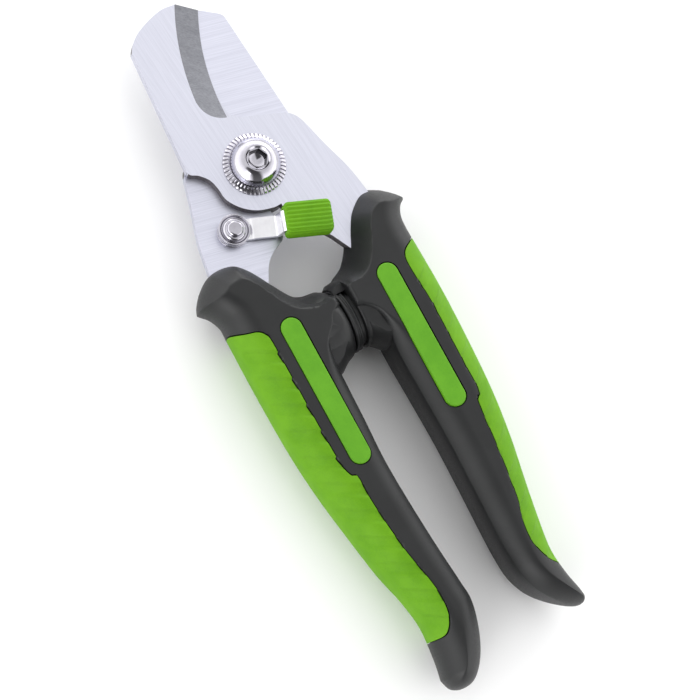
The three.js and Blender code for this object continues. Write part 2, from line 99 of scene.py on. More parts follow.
INLAY_TOPS = {LEFT: (-15.1, -42.6), RIGHT: (15.9, -40.9)}
BORE = 4.05
RIVET_BORE = 2.05
SPRING_Y = -48.9
CUP_MOUTH = {LEFT: -0.3, RIGHT: 4.2}  # distances out from the middle, along the spring
CUP_FLOOR = {LEFT: 11.9, RIGHT: 13.9}
CUP_BORE = {LEFT: 6.7, RIGHT: 7.9}
LATCH = Vector((-13.7, -13.8, 0))
LATCH_TURN = Matrix.Translation(LATCH) @ Matrix.Rotation(math.radians(-20), 4, "Z")

# ---------------------------------------------------------------- materials


def hex_colour(text):
    """An sRGB hex colour as a linear RGBA."""
    parts = [int(text[i : i + 2], 16) / 255 for i in (0, 2, 4)]
    linear = [c / 12.92 if c <= 0.04045 else ((c + 0.055) / 1.055) ** 2.4 for c in parts]
    return (*linear, 1)


def add(tree, kind, settings=None, stops=(), **inputs):
    """Adds a shader node: settings are its own properties, stops are the (position, sRGB hex)
    of a colour ramp, and inputs are values or sockets, by name or as _number."""
    node = tree.nodes.new(kind)
    for name, value in (settings or {}).items():
        setattr(node, name, value)
    for i, (position, colour) in enumerate(stops):
        node.color_ramp.elements[i].position = position
        node.color_ramp.elements[i].color = hex_colour(colour)
    for name, value in inputs.items():
        socket = node.inputs[int(name[1:]) if name[1:].isdigit() else name.replace("_", " ")]
        if isinstance(value, bpy.types.NodeSocket):
            tree.links.new(value, socket)
        else:
            socket.default_value = value
    return node


def new_material(name, **shader):
    """A material, its node tree and its shader, with constants set on the shader's sockets."""
    material = bpy.data.materials.new(name)
    material.use_nodes = True
    tree = material.node_tree
    principled = tree.nodes["Principled BSDF"]
    for key, value in shader.items():
        principled.inputs[key.replace("_", " ")].default_value = value
    return material, tree, principled


def brushed_steel(name, low, high, angle, line, roughness, depth):
    """Steel sheet, belt-ground in one direction: long fine lines, line mm apart,
    that turn its mirror into a soft sheen and show as faint light and dark streaks."""
    material, tree, shader = new_material(name, Metallic=1.0)
    coordinates = add(tree, "ShaderNodeTexCoord").outputs["Object"]
    turned = add(
        tree, "ShaderNodeMapping", Vector=coordinates, Rotation=(0, 0, math.radians(-angle))
    ).outputs[0]
    per_metre = 1000 / line
    fine = add(
        tree,
        "ShaderNodeMapping",
        Vector=turned,
        Scale=(per_metre / 70, per_metre, per_metre),
    ).outputs[0]
    coarse = add(
        tree,
        "ShaderNodeMapping",
        Vector=turned,
        Scale=(per_metre / 200, per_metre / 5, per_metre / 5),
    ).outputs[0]
    lines = add(
        tree, "ShaderNodeTexNoise", Vector=fine, Scale=1.0, Detail=3.0, Roughness=0.7
    ).outputs["Fac"]
    bands = add(
        tree, "ShaderNodeTexNoise", Vector=coarse, Scale=1.0, Detail=2.0, Roughness=0.5
    ).outputs["Fac"]
    both = add(
        tree, "ShaderNodeMix", {"data_type": "FLOAT"}, Factor=0.3, _2=lines, _3=bands
    ).outputs[0]
    colour = add(
        tree, "ShaderNodeValToRGB", stops=[(0.36, low), (0.62, high)], Fac=both
    ).outputs["Color"]
    tree.links.new(colour, shader.inputs["Base Color"])
    rough = add(
        tree,
        "ShaderNodeMapRange",
        Value=lines,
        _1=0.3,
        _2=0.7,
        _3=roughness + 0.07,
        _4=roughness - 0.07,
    ).outputs[0]
    tree.links.new(rough, shader.inputs["Roughness"])
    bump = add(tree, "ShaderNodeBump", Height=both, Strength=0.35, Distance=depth).outputs[0]
    tree.links.new(bump, shader.inputs["Normal"])
    return material


def moulded(name, low, high, grain, roughness, depth, mottle, **shader):
    """Injection-moulded polymer: an even colour with faint cloudy mottling, mottle mm
    across, and a fine spark-eroded grain that keeps its gloss low."""
    material, tree, principled = new_material(name, **shader)
    coordinates = add(tree, "ShaderNodeTexCoord").outputs["Object"]
    clouds = add(
        tree, "ShaderNodeTexNoise", Vector=coordinates, Scale=1000 / mottle, Detail=3.0
    ).outputs["Fac"]
    spots = add(
        tree, "ShaderNodeTexNoise", Vector=coordinates, Scale=1000 / grain, Detail=2.0
    ).outputs["Fac"]
    mixed = add(
        tree, "ShaderNodeMix", {"data_type": "FLOAT"}, Factor=0.35, _2=clouds, _3=spots
    ).outputs[0]
    colour = add(
        tree, "ShaderNodeValToRGB", stops=[(0.38, low), (0.62, high)], Fac=mixed
    ).outputs["Color"]
    tree.links.new(colour, principled.inputs["Base Color"])
    rough = add(
        tree,
        "ShaderNodeMapRange",
        Value=spots,
        _1=0.3,
        _2=0.7,
        _3=roughness - 0.05,
        _4=roughness + 0.07,
    ).outputs[0]
    tree.links.new(rough, principled.inputs["Roughness"])
    bump = add(tree, "ShaderNodeBump", Height=spots, Strength=0.3, Distance=depth).outputs[0]
    tree.links.new(bump, principled.inputs["Normal"])
    return material


def bright_steel(name, low, high, roughness, smear):
    """Tumble-polished and nickel-plated steel: a near mirror, with faint cloudy haze
    smear mm across where it has been handled."""
    material, tree, shader = new_material(name, Metallic=1.0)
    coordinates = add(tree, "ShaderNodeTexCoord").outputs["Object"]
    haze = add(
        tree, "ShaderNodeTexNoise", Vector=coordinates, Scale=1000 / smear, Detail=4.0
    ).outputs["Fac"]
    colour = add(
        tree, "ShaderNodeValToRGB", stops=[(0.35, low), (0.65, high)], Fac=haze
    ).outputs["Color"]
    tree.links.new(colour, shader.inputs["Base Color"])
    rough = add(
        tree,
        "ShaderNodeMapRange",
        Value=haze,
        _1=0.3,
        _2=0.7,
        _3=roughness - 0.03,
        _4=roughness + 0.05,
    ).outputs[0]
    tree.links.new(rough, shader.inputs["Roughness"])
    return material


# Blade faces: pale grey with a cool tint, streaked along the grind. The rear blade was ground
# the other way, so its lines cross the front blade's.
front_steel = brushed_steel("belt_ground_stainless", "c9cad6", "d5d6e2", 95, 0.16, 0.38, 1.5e-6)
rear_steel = brushed_steel("belt_ground_stainless_rear", "c8c9d6", "d9dae7", -10, 0.3, 0.38, 2e-6)
# The ground bevel reads as a flat, much darker grey band, with lines slanted across it.
bevel_steel = brushed_steel("wheel_ground_bevel", "66676c", "7a7b80", -33, 0.3, 0.36, 2e-6)
# The blank's edge is matt and mottled, as the press left it, and its darker grey is also painted shade
# on the edge walls.
sheared_steel_and_shade = brushed_steel("sheared_edge_and_painted_shade", "4e4a4c", "7b7678", 90, 0.5, 0.5, 4e-6)
# Drawn wire, darker than the plated parts, with a broad highlight.
spring_steel = bright_steel("oiled_spring_wire", "77787c", "9fa0a5", 0.28, 3)
# Bolt, nut, washers and rivet: sharp reflections of the studio, with a faint violet cast.
plated_steel = bright_steel("nickel_plated_steel", "adabb3", "bebcc4", 0.12, 4)
# The lever is buffed flat strip, so it shows nearly white with a soft edge.
strip_steel = bright_steel("polished_lever_strip", "dddce0", "e8e8eb", 0.2, 4)
# The broach leaves the walls of the hexagon rough, and their dark grey is painted shade for the deep
# recess.
socket_steel_painted_shade = bright_steel("socket_wall_painted_shade", "3c3a3e", "5a585c", 0.4, 1.5)
# Near-black and satin, so rounded edges carry soft grey highlights.
nylon = moulded(
    "charcoal_glass_filled_nylon", "0e0f10", "151617", 0.45, 0.46, 8e-6, 9,
    Specular_IOR_Level=0.42,
)
# Saturated yellow-green with almost no shine; the inlays are a little bluer and glossier.
soft_grip = moulded(
    "lime_thermoplastic_elastomer", "558b04", "60960c", 0.4, 0.62, 6e-6, 7,
    Specular_IOR_Level=0.22,
)
soft_inlay = moulded(
    "lime_elastomer_inlay", "4f8d0c", "599714", 0.4, 0.6, 6e-6, 6, Specular_IOR_Level=0.3
)

# ---------------------------------------------------------------- mesh helpers


def lerp(a, b, t):
    return a + (b - a) * t


def smooth_line(points, steps=8):
    """A smooth curve through points of any number of values, steps to each stretch."""
    line = []
    for i in range(len(points) - 1):
        p0 = points[max(i - 1, 0)]
        p1, p2 = points[i], points[i + 1]
        p3 = points[min(i + 2, len(points) - 1)]
        for step in range(steps):
            t = step / steps
            line.append(
                tuple(
                    0.5
                    * (
                        2 * b
                        + (c - a) * t
                        + (2 * a - 5 * b + 4 * c - d) * t * t
                        + (3 * b - a - 3 * c + d) * t * t * t
                    )
                    for a, b, c, d in zip(p0, p1, p2, p3)
                )
            )
    line.append(tuple(points[-1]))
    return line


def outline(steps, per=8):
    """Joins stretches into one closed loop: a single point is a straight line to it,
    several are a smooth curve through them from the last point."""
    loop = [tuple(steps[0][0])]
    for points in steps[1:]:
        if len(points) == 1:
            loop.append(tuple(points[0]))
        else:
            loop.extend(smooth_line([loop[-1], *points], per)[1:])
    kept = [
        p for i, p in enumerate(loop) if math.dist(p[:2], loop[(i + 1) % len(loop)][:2]) > 0.02
    ]
    return kept


def plan_solid(loop, bottom, top):
    """A plate with that plan, from bottom to top."""
    bm = bmesh.new()
    bm.faces.new([bm.verts.new((p[0], p[1], bottom)) for p in loop])
    made = bmesh.ops.extrude_face_region(bm, geom=bm.faces[:])
    rising = [v for v in made["geom"] if isinstance(v, bmesh.types.BMVert)]
    bmesh.ops.translate(bm, verts=rising, vec=(0, 0, top - bottom))
    bmesh.ops.recalc_face_normals(bm, faces=bm.faces)
    return bm


def turned(profile, steps=96):
    """A solid turned about Z from a profile of (radius, z), closed on the axis or on itself."""
    bm = bmesh.new()
    verts = [bm.verts.new((r, 0, z)) for r, z in profile]
    edges = [bm.edges.new(pair) for pair in zip(verts, verts[1:])]
    if profile[0][0] > 0:
        edges.append(bm.edges.new((verts[-1], verts[0])))
    bmesh.ops.spin(
        bm,
        geom=verts + edges,
        cent=(0, 0, 0),
        axis=(0, 0, 1),
        angle=2 * math.pi,
        steps=steps,
        use_merge=True,
        use_duplicate=False,
    )
    bmesh.ops.remove_doubles(bm, verts=bm.verts, dist=1e-4)
    bmesh.ops.recalc_face_normals(bm, faces=bm.faces)
    return bm


def rounded(profile, radius, steps=3):
    """The profile with its corners rounded by up to radius; its two ends stay as they are."""
    smooth = [profile[0]]
    for before, corner, after in zip(profile, profile[1:], profile[2:]):
        a, c, b = Vector(before), Vector(corner), Vector(after)
        cut = min(radius, (a - c).length * 0.45, (b - c).length * 0.45)
        start, end = c + (a - c).normalized() * cut, c + (b - c).normalized() * cut
        for i in range(steps + 1):
            t = i / steps
            smooth.append(tuple(start * (1 - t) ** 2 + c * 2 * t * (1 - t) + end * t * t))
    smooth.append(profile[-1])
    return smooth


def moved(bm, matrix):
    """Transforms a mesh in place and keeps its faces pointing outwards."""
    bmesh.ops.transform(bm, matrix=matrix, verts=bm.verts)
    if matrix.determinant() < 0:
        bmesh.ops.reverse_faces(bm, faces=bm.faces)
    return bm


def across(bm, side=RIGHT):
    """Turns a solid of revolution about Z to lie along X, at the spring's place.
    Its Z becomes the distance out to that side."""
    matrix = Matrix.Translation((0, SPRING_Y, 0)) @ Matrix.Rotation(math.radians(90), 4, "Y")
    if side == LEFT:
        matrix = Matrix.Scale(-1, 4, (1, 0, 0)) @ matrix
    return moved(bm, matrix)


def as_object(bm, name="cutter"):
    """Turns a bmesh into a linked object and frees it."""
    mesh = bpy.data.meshes.new(name)
    bm.to_mesh(mesh)
    bm.free()
    made = bpy.data.objects.new(name, mesh)
    bpy.context.scene.collection.objects.link(made)
    return made


def carve(bm, *changes):
    """Applies boolean changes in turn, each ("DIFFERENCE" | "UNION" | "INTERSECT", bmesh)."""
    body = as_object(bm, "blank")
    tools = []
    for operation, tool in changes:
        tools.append(as_object(tool))
        modifier = body.modifiers.new(operation, "BOOLEAN")
        modifier.operation = operation
        modifier.solver = "EXACT"
        modifier.object = tools[-1]
    evaluated = body.evaluated_get(bpy.context.evaluated_depsgraph_get())
    result = bmesh.new()
    result.from_mesh(evaluated.to_mesh())
    evaluated.to_mesh_clear()
    for done in [body, *tools]:
        mesh = done.data
        bpy.data.objects.remove(done)
        bpy.data.meshes.remove(mesh)
    bmesh.ops.remove_doubles(result, verts=result.verts, dist=1e-3)
    bmesh.ops.dissolve_degenerate(result, dist=1e-3, edges=result.edges)
    return result


def finish_piece(name, bm, body, slot, *materials, turn=None, smooth=35, edge=0, picks=None):
    """Makes a piece of the shears from a mesh in millimetres: smooth is the angle above
    which an edge stays sharp, edge the size of the small bevel on the sharp edges, and
    picks gives a face the number of its material. No point leaves the CAD model's box."""
    if turn:
        moved(bm, turn)
    if picks:
        for face in bm.faces:
            face.material_index = picks(face)
    for face in bm.faces:
        face.smooth = True
    for side in bm.edges:
        side.smooth = side.calc_face_angle(0) < math.radians(smooth)
    moved(bm, MM)
    for v in bm.verts:
        v.co = [min(max(c, low), high) for c, low, high in zip(v.co, *cad_box)]
    piece = as_object(bm, name)
    for material in materials:
        piece.data.materials.append(material)
    if edge:
        bevel = piece.modifiers.new("edge", "BEVEL")
        bevel.width = edge / 1000
        bevel.segments = 2
        bevel.limit_method = "ANGLE"
        bevel.angle_limit = math.radians(smooth)
        bevel.harden_normals = True
    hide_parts(name.removesuffix("_look"))
    if body:
        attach(piece, body)
    return piece


# ---------------------------------------------------------------- blades

heel_arc = [
    (HEEL_RADIUS * math.cos(math.radians(a)), HEEL_RADIUS * math.sin(math.radians(a)))
    for a in (205, 225, 245, 265, 276)
]
# Ends of the two blades, and the rest of the plan, which they share.
front_tip = [
    [(2.3, 49.7)],
    [(-1.6, 49.9), (-4.5, 49.3), (-7.6, 48.2), (-11.4, 46.3), (-14.1, 43.9), (-15.3, 42.1)],
    [(-17.8, 5.8)],
]
rear_tip = [
    [(2.3, 49.2)],
    [(-1.5, 49.2), (-4.5, 48.3), (-8.2, 46.4), (-11.4, 44.3), (-13.4, 42.9), (-14.1, 41.7)],
    [(-17.1, 5.8)],
]
below_tip = [
    [(-17.2, 4.7), (-15.3, 3.6), (-13.2, 1.2), (-12.3, -1.8), *heel_arc],
    [(1.4, -19.4)],
    [(2.2, -21.4), (5.8, -23.2), (8.4, -25.2), (9.9, -27.2)],
    [(14.6, -36)],
    [(16, -52)],
    [(16.8, -86)],
    [(18, -89.5), (21, -89.5), (22.2, -86)],
    [(24, -52)],
    [(25.2, -34)],
    [(25, -21)],
    [(23.4, -12), (20.6, -3), (18.3, 5.2), (16.8, 7.9), (15, 9.4)],
    [(8.3, 11.7)],
    [
        (2.5, 13.9), (1.5, 16.4), (0.9, 19.5), (0.85, 22), (2.1, 30), (4.4, 38), (8.1, 46.3),
    ],
]


def blade_plan(tip):
    """Plan of a whole blade and its tang, with that tip."""
    return outline([[(8.1, 46.3)], *tip, *below_tip])


def disc(radius, bottom, top, steps=96, top_radius=None):
    """A round plug about Z, or a cone where the top has another radius."""
    return turned([(0, bottom), (radius, bottom), (top_radius or radius, top), (0, top)], steps)


def bevel_cutter():
    """Cuts the ground bevel: a cone about the edge's centre, with a round inner end."""
    rise = 2
    low = BLADE_BOTTOM + EDGE_LAND
    spread = rise * BEVEL_WIDTH / (BLADE_TOP - low)
    wide = EDGE_RADIUS + BEVEL_WIDTH + spread
    cone = disc(EDGE_RADIUS, low, BLADE_TOP + rise, 360, wide)
    moved(cone, Matrix.Translation(EDGE_CENTRE))
    end = moved(disc(BEVEL_END_RADIUS, low - 1, 8), Matrix.Translation(BEVEL_END))
    reach = 60
    along = plan_solid(
        [(-reach, 22), (reach, 22), (reach, 22 + reach), (-reach, 22 + reach)], low - 0.7, 7
    )
    return carve(cone, ("INTERSECT", carve(end, ("UNION", along))))


def blade_finish_and_shade(face):
    """0 for the flat faces and the belt-ground spine, 1 for the ground bevel, 2 for the
    other edge walls, whose darker grey is part matt sheared finish and part painted shade."""
    # Edge walls away from the spine take the dark sheared grey: painted shade on top of the matt edge.
    upright = abs(face.normal.z)
    on_spine = abs(face.normal.x) > 0.93 and abs(face.calc_center_median().x) > 14.5
    if upright > 0.99 or on_spine:
        return 0
    return 1 if upright > 0.6 else 2


def make_blade(rear):
    """The front blade, or the rear one: the same shape turned over, with a rivet hole."""
    blade = carve(
        plan_solid(blade_plan(rear_tip if rear else front_tip), BLADE_BOTTOM, BLADE_TOP),
        ("DIFFERENCE", disc(BORE, -THROUGH, THROUGH)),
        ("DIFFERENCE", bevel_cutter()),
    )
    if rear:
        moved(blade, Matrix.Rotation(math.pi, 4, "Y"))
        rivet_bore = moved(disc(RIVET_BORE, -THROUGH, THROUGH, 48), Matrix.Translation(LATCH))
        blade = carve(blade, ("DIFFERENCE", rivet_bore))
    name, body = ("rear_blade", "left_half") if rear else ("front_blade", "right_half")
    finish_piece(
        name + "_look",
        blade,
        body,
        "blade_steel",
        rear_steel if rear else front_steel,
        bevel_steel,
        sheared_steel_and_shade,
        edge=0.12,
        picks=blade_finish_and_shade,
        smooth=14,
    )


make_blade(rear=False)
make_blade(rear=True)

# ---------------------------------------------------------------- handles

# Outlines of the handles. Each point is x, y, the height at which the outline's wall ends
# (0 is fully rounded over), the width of the rounding inside it, and its fullness: at 1 the
# rounding runs smoothly into the face, and towards 0 it is a chamfer that meets it in a crease.
left_outline = [
    [(-29.4, -38.5, 0, 8, 1)],
    [
        (-29.3, -36.1, 0, 7.5, 1), (-29.7, -34.4, 0, 7, 1), (-30.7, -32.3, 0, 6.5, 1),
        (-32.1, -30.8, 0, 5.5, 0.9), (-33.3, -29.7, 0, 5, 0.8),
    ],
    [
        (-32.5, -27.7, 0, 5.6, 0.6), (-30.3, -25, 0, 6, 0.55), (-27, -22.5, 0, 6.2, 0.5),
        (-23.9, -21.5, 0, 6.4, 0.55), (-20.8, -21.7, 0, 6.2, 0.8), (-18.3, -22.7, 0, 5.6, 0.8),
        (-15.4, -25.2, 0, 5.2, 0.45), (-13.2, -28.2, 0, 5.2, 0.25), (-11.2, -31.6, 0, 5.3, 0.2),
        (-8.2, -36.2, 0, 5.6, 0.15), (-6.1, -37.6, 0, 5.6, 0.15), (-4, -38.1, 0, 5.6, 0.15),
        (-2, -38.2, 0, 5.4, 0.2), (-0.8, -38.8, 0, 4.6, 0.2),
    ],
    [(0.1, -40.2, 0, 3.4, 0.3)],
    [(0.2, -41, 8.6, 1.4, 1)],
    [(0.2, -45.4, 9.2, 1.4, 1)],
    [
        (-2.6, -47.4, 9.2, 1, 1), (-3.9, -49.6, 9.2, 1, 1), (-6.2, -51.9, 9.2, 1, 1),
        (-7.6, -54, 9, 1.2, 1), (-8.3, -57.5, 8.6, 2, 1), (-8.5, -62, 8.2, 3.4, 1),
        (-8.6, -67, 8, 4.6, 1),
        (-8.9, -76, 8, 5, 1), (-9.4, -88, 8, 5, 1), (-9, -101, 8, 5, 1), (-8.2, -114, 8, 5, 1),
        (-7.2, -125, 7.8, 5, 1), (-6.7, -131, 7, 5, 1), (-8, -138.5, 4.5, 6, 1),
        (-10.6, -145, 1.5, 7.5, 1), (-14.4, -149.3, 0, 8, 1), (-18, -150.3, 0, 8, 1),
        (-21.1, -149, 0, 8, 1), (-22.3, -145.8, 0, 8, 1),
    ],
    [
        (-21.2, -140, 0, 8, 1), (-20.4, -131, 0, 8, 1), (-21.6, -122.5, 0, 8, 1),
        (-23.9, -113.5, 0, 8, 1), (-26, -101, 0, 8, 1), (-27.9, -88, 0, 8, 1),
        (-29.1, -74, 0, 8, 1), (-29.5, -56, 0, 8, 1), (-29.4, -38.5, 0, 8, 1),
    ],
]
right_outline = [
    [(29.8, -38, 0, 8, 1)],
    [
        (29.7, -34.5, 0, 8, 1), (29.9, -31.2, 0, 7.5, 1), (30.8, -28.8, 0, 6.5, 1),
        (32, -27.3, 0, 5.5, 0.9), (33.25, -26.5, 0, 5, 0.8),
    ],
    [
        (32.9, -25.2, 0, 5.4, 0.6), (31.7, -23.5, 0, 5.8, 0.45), (29.8, -21.8, 0, 6, 0.4),
        (28.1, -20.6, 0, 6, 0.35), (24.8, -19.2, 0, 6.4, 0.3), (21, -19.4, 0, 6.6, 0.2),
        (16.6, -22.8, 0, 5.8, 0.12), (13.6, -27.4, 0, 5.6, 0.12), (11.4, -31.6, 0, 5.8, 0.15),
        (8.4, -35.2, 0, 6.2, 0.2), (6.2, -36.6, 0, 5.2, 0.25),
    ],
    [(4.4, -37.4, 0, 4.6, 0.3)],
    [(4.2, -37.8, 9.2, 1, 1)],
    [(4.2, -48, 9.2, 1, 1)],
    [
        (6, -48.8, 9.2, 1, 1), (7.8, -50.5, 9.2, 1, 1), (9, -52.4, 9, 1, 1),
        (9.6, -54.8, 8.8, 1.4, 1), (9.6, -57.7, 8, 2.8, 1), (9.2, -61, 7, 4.4, 1),
        (9, -66, 6.4, 6, 1), (9.2, -76, 6.2, 6.6, 1), (9.4, -90, 6.2, 6.6, 1),
        (9.1, -104, 6.2, 6.6, 1), (8.7, -116, 6.2, 6.2, 1), (8.6, -125, 6.2, 5.8, 1),
        (9.2, -131.5, 6, 5.6, 1), (11.4, -137.2, 5, 5.8, 1), (15, -141.8, 3, 6.6, 1),
        (18.8, -145.2, 0, 7.5, 1), (21.6, -146.3, 0, 8, 1), (23.2, -144.9, 0, 8, 1),
        (23, -142, 0, 8, 1),
    ],
    [
        (21.7, -136, 0, 8, 1), (21.2, -129, 0, 8, 1), (22.7, -119, 0, 8, 1),
        (24.6, -109, 0, 8, 1), (26.7, -98.5, 0, 8, 1), (28.5, -86, 0, 8, 1),
        (29.5, -72, 0, 8, 1), (30.1, -54, 0, 8, 1), (29.8, -38, 0, 8, 1),
    ],
]
left_grip_edge = [
    (-31.6, -37.2), (-29.4, -38.7), (-28.2, -39.8), (-26.2, -41.1), (-23.4, -42.3),
    (-22, -43.8), (-21.4, -46), (-21.3, -57), (-21.2, -74),
    (-20.9, -83.2), (-20, -86.9), (-18.5, -88.6), (-18.3, -97), (-16.8, -111),
    (-14.8, -120.8), (-14.2, -126), (-14.6, -131), (-16.2, -134.4), (-18.6, -135.8), (-25, -134.6),
]
right_grip_edge = [
    (31.6, -35.6), (29.4, -36.9), (26.2, -38.5), (23.7, -39.9), (22.6, -41.4), (22.2, -43.4),
    (22.3, -48), (22.8, -56), (22.5, -73),
    (22.4, -82.7), (21.2, -84.6), (20.5, -86.4), (19.1, -99.6), (17.2, -113),
    (15.2, -120), (14.9, -125), (16.4, -130), (19.6, -133.4), (25, -135.4),
]


class Outline:
    """Finds the nearest place on a closed outline, and the outline's x on each side at a y."""

    def __init__(self, steps):
        self.points = outline(steps, 24)
        count = len(self.points)
        self.tree = kdtree.KDTree(count)
        for i, p in enumerate(self.points):
            self.tree.insert((p[0], p[1], 0), i)
        self.tree.balance()
        self.low = min(p[1] for p in self.points)
        self.high = max(p[1] for p in self.points)

    def crossings(self, y):
        """Lowest and highest x of the outline at y."""
        found = []
        for i, a in enumerate(self.points):
            b = self.points[(i + 1) % len(self.points)]
            if (a[1] - y) * (b[1] - y) <= 0 and a[1] != b[1]:
                found.append(lerp(a[0], b[0], (y - a[1]) / (b[1] - a[1])))
        return min(found), max(found)

    def height(self, x, y):
        """Height of the handle's face there, from the rounding along the outline."""
        lowest = PLATEAU
        reach = 9  # past the widest rounding
        for _, i, _ in self.tree.find_range((x, y, 0), reach):
            a = self.points[i]
            b = self.points[(i + 1) % len(self.points)]
            ab = Vector((b[0] - a[0], b[1] - a[1]))
            length = ab.length_squared
            t = (x - a[0]) * ab.x + (y - a[1]) * ab.y
            t = min(max(t / length, 0), 1) if length else 0
            away = math.hypot(x - lerp(a[0], b[0], t), y - lerp(a[1], b[1], t))
            wall, width, full = (lerp(a[k], b[k], t) for k in (2, 3, 4))
            if away < width:
                done = away / width
                rise = lerp(done, math.sqrt(max(0, 1 - (1 - done) ** 2)), full)
                crown = 1 - (1 - done) ** 2
                rise = lerp(rise, crown, min(max(wall / 6, 0), 1))
                lowest = min(lowest, wall + (PLATEAU - wall) * rise)
        return lowest


def ramp_up(value, low, high):
    """0 below low, 1 above high, and a straight rise between."""
    return min(max((value - low) / (high - low), 0), 1)


def eased(t):
    """0 to 1, slow at both ends."""
    return 0.5 - 0.5 * math.cos(math.pi * t)


def even_out(levels, at, side, pick):
    """One side of the outline near a level with its steps evened out: pick (max or min) of
    the levels around, averaged. The window narrows towards both ends of the handle."""
    widest = 7
    window = min(widest, at // 2, (len(levels) - 1 - at) // 2)

    def nearby(centre):
        return pick(level[side] for level in levels[centre - window : centre + window + 1])

    around = range(at - window, at + window + 1)
    return sum(nearby(min(max(i, window), len(levels) - 1 - window)) for i in around) / len(around)


def handle_blank(steps, columns=84, rows=300):
    """The whole handle without its boss: a grid laid between the two sides of the outline,
    raised to the rounded face, walled and mirrored."""
    edge = Outline(steps)
    inset = 0.004  # keeps the first and last rows off the outline's single end points
    levels = []
    for row in range(rows + 1):
        share = lerp(row / rows, eased(row / rows), 0.45)
        y = lerp(edge.low + inset, edge.high - inset, share)
        levels.append((y, *edge.crossings(y)))
    guides = [(even_out(levels, i, 1, max), even_out(levels, i, 2, min)) for i in range(rows + 1)]
    margin = 0.14  # share of a row that still follows the outline's own steps
    bm = bmesh.new()
    bmesh.ops.create_grid(bm, x_segments=columns, y_segments=rows, size=1)
    for v in bm.verts:
        row = round((v.co.y + 1) / 2 * rows)
        y, x_low, x_high = levels[row]
        g_low, g_high = guides[row]
        u = lerp((v.co.x + 1) / 2, eased((v.co.x + 1) / 2), 0.6)
        if u < margin:
            x = lerp(x_low, g_low + (g_high - g_low) * margin, u / margin)
        elif u > 1 - margin:
            x = lerp(x_high, g_high - (g_high - g_low) * margin, (1 - u) / margin)
        else:
            x = lerp(g_low, g_high, u)
        v.co = (x, y, edge.height(x, y))
    rim = [e for e in bm.edges if e.is_boundary]
    made = bmesh.ops.extrude_edge_only(bm, edges=rim)
    for v in made["geom"]:
        if isinstance(v, bmesh.types.BMVert):
            v.co.z = 0
    bmesh.ops.mirror(bm, geom=bm.verts[:] + bm.edges[:] + bm.faces[:], axis="Z", merge_dist=0.001)
    bmesh.ops.remove_doubles(bm, verts=bm.verts, dist=0.004)
    bmesh.ops.dissolve_degenerate(bm, dist=0.002, edges=bm.edges)
    bmesh.ops.recalc_face_normals(bm, faces=bm.faces)
    if bm.calc_volume(signed=True) < 0:
        bmesh.ops.reverse_faces(bm, faces=bm.faces)
    bm.normal_update()
    return bm


def rib_phase(x, y, z, side):
    """How far a point is through a rib and the land below it, from 0 to 1."""
    return ((RIB_PHASE - Vector((-side * x, y, abs(z))).dot(RIB_SQUARE)) / RIB_PITCH) % 1


def grip_plan(edge, side, inset=0.0):
    """Plan of the soft grip: its edge on the face, with a small jog where each rib runs out
    into it, closed well outside the handle."""
    outside = side * 45
    line = []
    for x, y in smooth_line(edge, 24):
        jog = ramp_up(RIB_SHARE - rib_phase(x, y, 9.5, side), 0, RIB_SHARE)
        jog *= RIB_JOG * ramp_up(-y, 44, 47) * ramp_up(y, -84, -82)
        line.append((x + side * (inset + jog), y + inset * (1 if y < GRIP_MIDDLE else -1)))
    return [*line, (outside, line[-1][1]), (outside, line[0][1])]


def spine_plan(edge, steps, side, grow):
    """Plan of the rib of hard plastic under the soft grip."""
    outer = [p[:2] for p in steps[-1]][:-1]
    along = [(x - side * (SPINE_INSET - grow), y) for x, y in outer]
    under_core = 3  # how far the rib reaches back inside the core
    back = [(x - side * (under_core + grow), y) for x, y in edge[2:-2]]
    stretch = 1 + grow / 40
    return [(x, lerp(GRIP_MIDDLE, y, stretch)) for x, y in [*along, *back]]


def stadium(x, top, width, length, steps=16):
    """A round-ended strip in plan, down from top and centred on x."""
    r = width / 2
    upper = [math.pi * i / steps for i in range(steps + 1)]
    head = [(x + r * math.cos(a), top - r + r * math.sin(a)) for a in upper]
    foot = [(x - r * math.cos(a), top - length + r - r * math.sin(a)) for a in upper]
    return [*head, *foot]


def inlay_blank(side, grow, bottom, top):
    """The solid of an inlay, or of its pocket where it is grown."""
    x, y = INLAY_TOPS[side]
    return plan_solid(
        stadium(x, y + grow, INLAY_WIDTH + 2 * grow, INLAY_LENGTH + 2 * grow), bottom, top
    )


def rib_grip(bm, edge, side):
    """Sinks the slanted ribs into the grip's share of the blank, square to its surface."""
    face_edge = smooth_line(edge, 4)
    normals = {v: v.normal.copy() for v in bm.verts}
    for v in bm.verts:
        if not RIBS_END < v.co.y < RIBS_START:
            continue
        border = min(face_edge, key=lambda p: abs(p[1] - v.co.y))[0]
        inside = side * (v.co.x - border)
        if inside < 0:
            continue
        phase = rib_phase(*v.co, side)
        sunk = ramp_up(phase, 0, 0.06) * ramp_up(RIB_SHARE - phase, 0, 0.07)
        outline_side = ramp_up(abs(v.co.z), 4, 6)
        ends = ramp_up(v.co.y, RIBS_END, RIBS_END + 3) * ramp_up(-v.co.y, -RIBS_START, 1.5 - RIBS_START)
        v.co -= normals[v] * RIB_DEPTH * sunk * outline_side * ends
    return bm


# Sides of each boss, as radius and distance out from the middle: its tube, which flares into
# the handle, and the wider fillet under it.
boss_side = {
    LEFT: [(8.9, -0.3), (9.8, 0.8), (10.3, 2), (10.6, 3.6), (10.6, 9)],
    RIGHT: [(9.2, 4.2), (9.3, 6), (9.5, 8), (9.5, 12)],
}
boss_foot = {
    LEFT: [(8.6, 0.7), (10.2, 2), (11.4, 4), (12.6, 5.6), (13.4, 7.5), (13.4, 9)],
    RIGHT: [(8.6, 5.2), (9.5, 5.6), (10.6, 7), (12, 8.4), (12.6, 10), (12.6, 12)],
}


def box_below(top_y, half_height):
    """A box over both bosses, from top_y down."""
    plan = [(-30, top_y), (30, top_y), (30, -70), (-30, -70)]
    return plan_solid(plan, -half_height, half_height)


